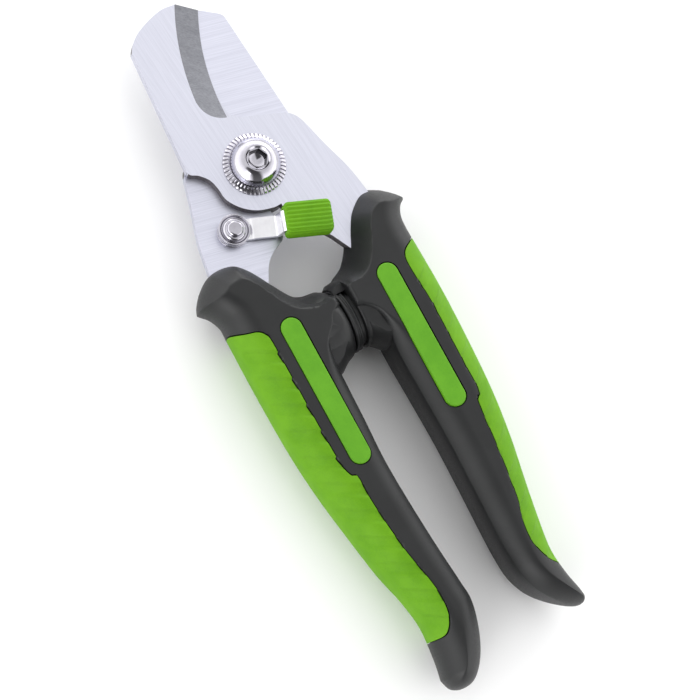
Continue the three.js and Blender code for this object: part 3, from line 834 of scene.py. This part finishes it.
def make_handle(side, steps, edge):
    """A handle's core, soft grip and two inlays, cut from one shape so that they meet."""
    left = side == LEFT
    name, body = ("left", "left_half") if left else ("right", "right_half")
    whole = rib_grip(handle_blank(steps), edge, side)
    mouth, floor, bore = CUP_MOUTH[side], CUP_FLOOR[side], CUP_BORE[side]
    inner_end = boss_side[side][-1][1]
    tube = across(turned(rounded([(0, mouth), *boss_side[side], (0, inner_end)], 0.7)), side)
    boss = carve(tube, ("INTERSECT", box_below(-30, PLATEAU - 0.2)))
    foot = across(turned([(0, mouth + 1), *boss_foot[side], (0, inner_end)]), side)
    boss = carve(boss, ("UNION", carve(foot, ("INTERSECT", box_below(-51, 8.4)))))
    if not left:
        collar = across(turned([(9.3, 0.9), (9.9, 0.62), (10.7, 1.5), (10.9, 3), (11.2, 6), (9.3, 6)]))
        above = plan_solid([(0, -44), (10, -44), (10, -30), (0, -30)], -6.5, 6.5)
        boss = carve(boss, ("UNION", carve(collar, ("INTERSECT", above))))
    well = across(turned([(0, mouth - 1), (bore, mouth - 1), (bore, floor), (0, floor)]), side)
    whole = carve(whole, ("UNION", boss), ("DIFFERENCE", well))

    half = HANDLE_HALF - SKIN
    hard = plan_solid(grip_plan(edge, side), -THROUGH, THROUGH)
    hard = carve(hard, ("DIFFERENCE", plan_solid(spine_plan(edge, steps, side, 0), -half, half)))
    soft = plan_solid(grip_plan(edge, side, SEAM), -THROUGH, THROUGH)
    grown = plan_solid(spine_plan(edge, steps, side, SEAM), -half - SEAM, half + SEAM)
    soft = carve(soft, ("DIFFERENCE", grown))
    grip = carve(whole.copy(), ("INTERSECT", soft))
    finish_piece(name + "_grip_look", grip, body, "lime_soft_grip", soft_grip)

    clear = 0.12  # between the tang and the plastic round it
    tang = plan_solid(blade_plan(front_tip), BLADE_BOTTOM - clear, BLADE_TOP + clear)
    if left:
        moved(tang, Matrix.Rotation(math.pi, 4, "Y"))
    pocket_floor = HANDLE_HALF - 2
    core = carve(
        whole,
        ("DIFFERENCE", hard),
        ("DIFFERENCE", tang),
        ("DIFFERENCE", inlay_blank(side, SEAM, pocket_floor, THROUGH)),
        ("DIFFERENCE", inlay_blank(side, SEAM, -THROUGH, -pocket_floor)),
    )
    finish_piece(name + "_handle_core_look", core, body, "charcoal_nylon", nylon, smooth=40)

    for where, sign in (("front", 1), ("back", -1)):
        low, high = sorted((sign * (pocket_floor + 0.3), sign * (HANDLE_HALF - 0.02)))
        pad = inlay_blank(side, 0, low, high)
        finish_piece(
            f"{name}_{where}_inlay_look",
            pad,
            body,
            "lime_soft_grip",
            soft_inlay,
            edge=0.45,
            smooth=40,
        )


make_handle(LEFT, left_outline, left_grip_edge)
make_handle(RIGHT, right_outline, right_grip_edge)

# ---------------------------------------------------------------- spring and its cup

cup = across(
    turned(
        [
            (6.7, 12.4), (6.7, 1.0), (6.95, 0.62), (8.8, 0.62), (9.15, 0.9), (9.2, 1.25),
            (9.05, 1.6), (8.75, 1.8), (8.75, 2.1), (9, 2.3), (9, 2.6), (8.7, 2.8),
            (7.7, 2.8), (7.6, 2.9), (7.6, 13.1), (7.1, 13.6), (0, 13.6), (0, 12.4),
        ]
    )
)
finish_piece("right_spring_cup_look", cup, "right_half", "charcoal_nylon", nylon, smooth=50)

WIRE, COIL = 0.75, 5.4
COIL_FROM, COIL_TO = -10.85, 11.35


def coil_spring():
    """A compression spring along X with one closed turn at each end."""
    bm = bmesh.new()
    bmesh.ops.create_circle(bm, segments=12, radius=WIRE)
    start = Matrix.Translation((COIL_FROM, SPRING_Y + COIL, 0))
    bmesh.ops.transform(bm, matrix=start, verts=bm.verts)
    closed = 2 * WIRE + 0.04
    active_turns = 6
    pitch = (COIL_TO - COIL_FROM - 2 * closed) / active_turns
    last = bm.verts[:] + bm.edges[:]
    per_turn = 40
    for turns, rise in ((1, closed), (active_turns, pitch), (1, closed)):
        steps = turns * per_turn
        last = bmesh.ops.spin(
            bm,
            geom=last,
            cent=(0, SPRING_Y, 0),
            axis=(1, 0, 0),
            dvec=(rise / per_turn, 0, 0),
            angle=turns * 2 * math.pi,
            steps=steps,
            use_duplicate=False,
        )["geom_last"]
    bmesh.ops.holes_fill(bm, edges=[e for e in bm.edges if e.is_boundary], sides=12)
    bmesh.ops.recalc_face_normals(bm, faces=bm.faces)
    return bm


spring = finish_piece(
    "return_spring_look", coil_spring(), None, "blade_steel", spring_steel, smooth=60
)
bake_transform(spring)

# ---------------------------------------------------------------- pivot bolt stack

SEAT = 0.02  # between parts that touch
WASHER_THICK, BACK_WASHER_THICK, NUT_THICK = 1.3, 1.2, 4.4
WASHER_FROM = BLADE_TOP + SEAT
HEAD_FROM = WASHER_FROM + WASHER_THICK + SEAT
BACK_FROM = -BLADE_TOP - SEAT
NUT_TOP = BACK_FROM - BACK_WASHER_THICK - SEAT
NUT_FROM = NUT_TOP - NUT_THICK
TEETH = 46
SOCKET_FLATS, NUT_FLATS = 5, 13


def serrated_washer():
    """Cone washer: a smooth dished middle inside a ring of raised radial teeth."""
    per_tooth = 8
    teeth_from = 7.1
    steps = TEETH * per_tooth
    washer = turned(
        [
            (BORE, 1.22), (BORE, 0), (8.8, 0), (8.8, 0.42), (8.7, 0.55), (8.2, 0.82),
            (7.7, 1.06), (7.3, 1.24), (7.05, 1.3), (6.85, 1.24), (6.7, 1.22),
        ],
        steps,
    )
    for v in washer.verts:
        radius = v.co.xy.length
        if v.co.z < 0.3 or radius < teeth_from:
            continue
        step = round(math.atan2(v.co.y, v.co.x) / math.tau * steps) % per_tooth
        if step in (0, 1, 7):
            v.co.z -= 0.6 * ramp_up(radius, teeth_from, teeth_from + 0.3)
            v.co.z = max(v.co.z, 0.12)
    return washer


def hexagon(across_flats, bottom, top, turn=0.0):
    """A hexagonal prism about Z."""
    corner = across_flats / 2 / math.cos(math.pi / 6)
    angles = [math.radians(turn + 60 * i) for i in range(6)]
    return plan_solid([(corner * math.cos(a), corner * math.sin(a)) for a in angles], bottom, top)


def pivot_bolt():
    """Button-head bolt with a hexagon socket, its drill point and a countersunk rim."""
    dome = smooth_line(
        [(6.86, 0.45), (6.75, 1.3), (6.35, 2.25), (5.6, 3.15), (4.7, 3.9), (3.9, 4.3)], 5
    )
    head = [(r, HEAD_FROM + z) for r, z in dome]
    tip = NUT_FROM - 0.8
    shank = [(0, tip), (3.3, tip), (4, tip + 0.7), (4, HEAD_FROM), (6.6, HEAD_FROM)]
    top = HEAD_FROM + 4.4
    rim = [(3.6, top), (3.4, top - 0.02), (2.95, top - 0.5), (0, top - 0.5)]
    blank = turned([*shank, (6.84, HEAD_FROM + 0.15), *head, *rim], 120)
    point = turned([(0, top - 4), (2.2, top - 2.7), (2.2, top - 2.4), (0, top - 2.4)], 48)
    return carve(
        blank,
        ("DIFFERENCE", hexagon(SOCKET_FLATS, top - 2.6, top + 1, -4)),
        ("DIFFERENCE", point),
    )


def socket_shade_pick(face):
    """1 for the walls of the hexagon socket, painted dark as shade in the recess, else 0."""
    centre = face.calc_center_median()
    in_socket = centre.xy.length < 3 and centre.z > HEAD_FROM
    return 1 if in_socket and abs(face.normal.z) < 0.3 else 0


def pivot_nut():
    """Hexagon nut, its corners chamfered on the outer face."""
    corner = NUT_FLATS / 2 / math.cos(math.pi / 6)
    chamfer = turned(
        [(0, NUT_FROM), (corner - 0.9, NUT_FROM), (corner + 0.1, NUT_FROM + 0.6),
         (corner + 0.1, NUT_TOP), (0, NUT_TOP)]
    )
    return carve(
        hexagon(NUT_FLATS, NUT_FROM, NUT_TOP),
        ("INTERSECT", chamfer),
        ("DIFFERENCE", disc(BORE, -THROUGH, THROUGH)),
    )


def ring(inner, outer, bottom, top, soften=0.2):
    """A plain washer with softened edges."""
    corners = [(inner, top), (inner, bottom), (outer, bottom), (outer, top), (inner, top)]
    return turned(rounded(corners, soften)[:-1])


def hardware(name, bm, body="left_half", metal=plated_steel, **finish):
    """A bright metal piece of one material."""
    finish_piece(name + "_look", bm, body, "polished_steel", metal, **finish)


hardware("serrated_washer", serrated_washer(), turn=Matrix.Translation((0, 0, WASHER_FROM)), smooth=28)
# The walls of the hexagon socket take the painted shade.
finish_piece(
    "pivot_bolt_look",
    pivot_bolt(),
    "left_half",
    "polished_steel",
    plated_steel,
    socket_steel_painted_shade,
    picks=socket_shade_pick,
    smooth=28,
)
hardware("back_washer", ring(BORE, 7.6, BACK_FROM - BACK_WASHER_THICK, BACK_FROM))
hardware("pivot_nut", pivot_nut(), edge=0.15, smooth=25)

# ---------------------------------------------------------------- latch

LEVER_FROM, LEVER_THICK, LEVER_WIDTH = 0.52, 1.4, 5.7
LEVER_MIDDLE, LEVER_RAISED = 1.22, 6.9  # heights of its middle line at each end
DISH_FROM = LEVER_FROM + LEVER_THICK + SEAT
RIVET_SEAT = DISH_FROM + 0.5 + SEAT
at_latch = Matrix.Translation(LATCH)

hardware("latch_washer", ring(RIVET_BORE, 4.4, 0, 0.5, 0.12), turn=at_latch)
dish = turned(
    rounded(
        [(RIVET_BORE, 0.5), (RIVET_BORE, 0), (4.4, 0), (4.4, 1.0), (3.95, 1.0), (3.6, 0.5),
         (RIVET_BORE, 0.5)],
        0.18,
    )[:-1]
)
hardware("latch_dish_washer", dish, turn=at_latch @ Matrix.Translation((0, 0, DISH_FROM)))
rivet = turned(
    rounded(
        [
            (0, BACK_FROM - 1), (2.7, BACK_FROM - 1), (3.2, BACK_FROM - 0.5), (3.2, BACK_FROM),
            (2, BACK_FROM), (2, RIVET_SEAT), (3.2, RIVET_SEAT), (3.2, RIVET_SEAT + 0.55),
            (2.75, RIVET_SEAT + 0.95), (2.3, RIVET_SEAT + 0.95), (2.15, RIVET_SEAT + 1.7),
            (1.75, RIVET_SEAT + 2), (0, RIVET_SEAT + 2.1),
        ],
        0.2,
    )
)
hardware("latch_rivet", rivet, turn=at_latch)


def across_lever(side_view, width):
    """A bar across the lever from its side view of (distance along, z)."""
    bm = plan_solid(side_view, -width / 2, width / 2)
    return moved(bm, Matrix.Rotation(math.radians(90), 4, "X"))


def strip_side():
    """The lever seen from the side: its middle line steps up twice, then gets thickness."""
    half = LEVER_THICK / 2
    line = [
        (2.5, LEVER_MIDDLE), (4.6, LEVER_MIDDLE), (5.8, 1.87), (12.1, 1.87),
        (13.2, LEVER_RAISED), (24, LEVER_RAISED),
    ]
    soft = rounded(line, 1.1, 5)
    upper, lower = [], []
    for i, point in enumerate(soft):
        before, after = Vector(soft[max(i - 1, 0)]), Vector(soft[min(i + 1, len(soft) - 1)])
        along = (after - before).normalized()
        square = Vector((-along.y, along.x)) * half
        upper.append(tuple(Vector(point) + square))
        lower.append(tuple(Vector(point) - square))
    return [*lower, *reversed(upper)]


lever = carve(
    disc(4.2, LEVER_FROM, LEVER_FROM + LEVER_THICK, 72),
    ("UNION", across_lever(strip_side(), LEVER_WIDTH)),
    ("DIFFERENCE", disc(RIVET_BORE, -THROUGH, THROUGH, 48)),
)
hardware("latch_lever", lever, "latch", strip_steel, turn=LATCH_TURN, edge=0.14, smooth=40)

SLEEVE_FROM, SLEEVE_LENGTH = 13, 12.9
SLEEVE_HALF, SLEEVE_LOW, SLEEVE_HIGH = 4.6, 3.6, 10.25


def sleeve_section():
    """Rounded section of the sleeve, ribbed on its top and upper sides, as (across, z)."""
    corner, rib = 1.9, 1.17
    middle = (SLEEVE_LOW + SLEEVE_HIGH) / 2
    tall = (SLEEVE_HIGH - SLEEVE_LOW) / 2
    corners = [(SLEEVE_HALF, -tall), (SLEEVE_HALF, tall), (-SLEEVE_HALF, tall), (-SLEEVE_HALF, -tall)]
    start = (0, -tall)
    path = rounded([start, *corners, start], corner, 10)[:-1]
    dense = []
    for i, point in enumerate(path):
        a, b = Vector(point), Vector(path[(i + 1) % len(path)])
        pieces = max(1, math.ceil((b - a).length / 0.16))
        dense.extend(a.lerp(b, k / pieces) for k in range(pieces))
    section, run = [], 0.0
    for i, point in enumerate(dense):
        after, before = dense[(i + 1) % len(dense)], dense[i - 1]
        run += (point - before).length if i else 0
        outward = (after - before).normalized()
        outward = Vector((outward.y, -outward.x))
        depth = 0.17 * (1 - math.cos(math.tau * run / rib)) * ramp_up(point.y, -tall + 1, 0)
        section.append(tuple(point - outward * depth))
    return [(x, z + middle) for x, z in section]


def sleeve():
    """The ribbed sleeve: its section drawn out along the lever, with rounded ends."""
    bm = bmesh.new()
    bm.faces.new([bm.verts.new((x, z, 0)) for x, z in sleeve_section()])
    middle = (SLEEVE_LOW + SLEEVE_HIGH) / 2
    end = 1.1
    stops = [0.04, 0.16, 0.34, 0.6, end]
    stops += [SLEEVE_LENGTH - s for s in reversed(stops)]

    def shrink(s):
        away = min(s, SLEEVE_LENGTH - s)
        return end * (1 - math.sqrt(max(0, 1 - (1 - min(away / end, 1)) ** 2)))

    half_height = 3.3

    def size(s):
        wide = (SLEEVE_HALF - shrink(s)) / SLEEVE_HALF
        return Vector((wide, (half_height - shrink(s)) / half_height, 1))

    centre = Vector((0, middle, 0))
    verts = bm.verts[:]
    bmesh.ops.scale(bm, vec=size(0), verts=verts, space=Matrix.Translation(-centre))
    face, at, now = bm.faces[:], 0.0, size(0)
    for stop in [*stops, SLEEVE_LENGTH]:
        made = bmesh.ops.extrude_face_region(bm, geom=face)["geom"]
        verts = [v for v in made if isinstance(v, bmesh.types.BMVert)]
        face = [f for f in made if isinstance(f, bmesh.types.BMFace)]
        bmesh.ops.translate(bm, verts=verts, vec=(0, 0, stop - at))
        target = size(stop)
        change = Vector((target.x / now.x, target.y / now.y, 1))
        bmesh.ops.scale(bm, vec=change, verts=verts, space=Matrix.Translation(-centre))
        at, now = stop, target
    bmesh.ops.recalc_face_normals(bm, faces=bm.faces)
    upright = Matrix(((0, 0, 1, SLEEVE_FROM), (1, 0, 0, 0), (0, 1, 0, 0), (0, 0, 0, 1)))
    moved(bm, upright)
    width = LEVER_WIDTH + 0.5
    slot = across_lever([(12, 5.8), (24.3, 5.8), (24.3, 7.95), (12, 7.95)], width)
    mouth = across_lever([(12, 2.5), (14.1, 2.5), (14.1, 6.5), (12, 6.5)], width)
    return carve(bm, ("DIFFERENCE", slot), ("DIFFERENCE", mouth))


finish_piece(
    "latch_sleeve_look", sleeve(), "latch", "lime_soft_grip", soft_grip, turn=LATCH_TURN, smooth=50
)

# ---------------------------------------------------------------- camera, floor and light

# A long lens from above, tilted a little towards the left handle, with the tips up.
CAMERA_DISTANCE = 0.6  # metres
target = MM @ Vector((-0.63, -56.67, 0))
view = Vector((-0.3, -0.1, 0.948683)).normalized()
up = Vector((0.432913, 0.871914, 0.228806))
camera_data = bpy.data.cameras.new("camera")
camera_data.lens = 114.286
camera_data.sensor_width = 36
camera = bpy.data.objects.new("camera", camera_data)
aim = Matrix((up.cross(view), up, view)).transposed()
camera.matrix_world = Matrix.Translation(target + view * CAMERA_DISTANCE) @ aim.to_4x4()
camera_data.clip_start = 0.01
bpy.context.scene.collection.objects.link(camera)
bpy.context.scene.camera = camera

bm = bmesh.new()
bmesh.ops.create_grid(bm, x_segments=1, y_segments=1, size=3)
bmesh.ops.translate(bm, verts=bm.verts, vec=(0, 0, -0.0002))
floor = as_object(bm, "studio_floor")
paper, tree, shader = new_material("white_paper_sweep", Roughness=0.9, Specular_IOR_Level=0.1)
coordinates = add(tree, "ShaderNodeTexCoord").outputs["Object"]
fibres = add(
    tree, "ShaderNodeTexNoise", Vector=coordinates, Scale=10.0, Detail=2.0
).outputs["Fac"]
white = add(
    tree, "ShaderNodeValToRGB", stops=[(0.3, "f4f4f4"), (0.7, "f8f8f8")], Fac=fibres
).outputs["Color"]
tree.links.new(white, shader.inputs["Base Color"])
floor.data.materials.append(paper)

# The room is bright low down and softer overhead, with one dark card that darkens the
# reflections in the polished steel. Positions below are in metres.
bpy.context.scene.view_settings.view_transform = "Standard"
world = bpy.data.worlds.new("studio")
bpy.context.scene.world = world
world.use_nodes = True
sky = world.node_tree
heading = add(sky, "ShaderNodeTexCoord").outputs["Generated"]
apart = add(sky, "ShaderNodeSeparateXYZ", Vector=heading)
off_centre = add(sky, "ShaderNodeMath", _0=apart.outputs["X"], _1=0.28).outputs[0]
aside = add(sky, "ShaderNodeMath", {"operation": "ABSOLUTE"}, _0=off_centre).outputs[0]
beside_card = add(
    sky, "ShaderNodeValToRGB", stops=[(0.22, "000000"), (0.42, "ffffff")], Fac=aside
).outputs["Color"]
above_card = add(
    sky,
    "ShaderNodeValToRGB",
    stops=[(-0.62, "000000"), (-0.36, "ffffff")],
    Fac=apart.outputs["Y"],
).outputs["Color"]
off_card = add(
    sky, "ShaderNodeMix", {"data_type": "RGBA", "blend_type": "LIGHTEN"}, Factor=1.0,
    _6=beside_card, _7=above_card,
).outputs[2]
height = add(sky, "ShaderNodeMath", {"operation": "ABSOLUTE"}, _0=apart.outputs["Z"]).outputs[0]
strength = add(
    sky, "ShaderNodeMapRange", Value=height, _1=0.25, _2=0.85, _3=2.4, _4=1.1
).outputs[0]
card = add(sky, "ShaderNodeMapRange", Value=off_card, _3=0.1, _4=1.0).outputs[0]
background = sky.nodes["Background"]
background.inputs["Color"].default_value = hex_colour("ffffff")
shaded = add(sky, "ShaderNodeMath", {"operation": "MULTIPLY"}, _0=strength, _1=card).outputs[0]
sky.links.new(shaded, background.inputs["Strength"])


def softbox(name, place, size, power):
    """A rectangular light that faces the shears."""
    light = bpy.data.lights.new(name, "AREA")
    light.shape = "RECTANGLE"
    light.size, light.size_y = size
    light.energy = power
    lamp = bpy.data.objects.new(name, light)
    towards = -Vector(place)
    turn = towards.to_track_quat("-Z", "Y").to_matrix().to_4x4()
    lamp.matrix_world = Matrix.Translation(place) @ turn
    bpy.context.scene.collection.objects.link(lamp)


softbox("left_bank", (-0.85, -0.4, 0.22), (0.35, 1.2), 3.0)
softbox("far_bank", (0.65, 0.75, 0.25), (1.2, 0.4), 4.0)
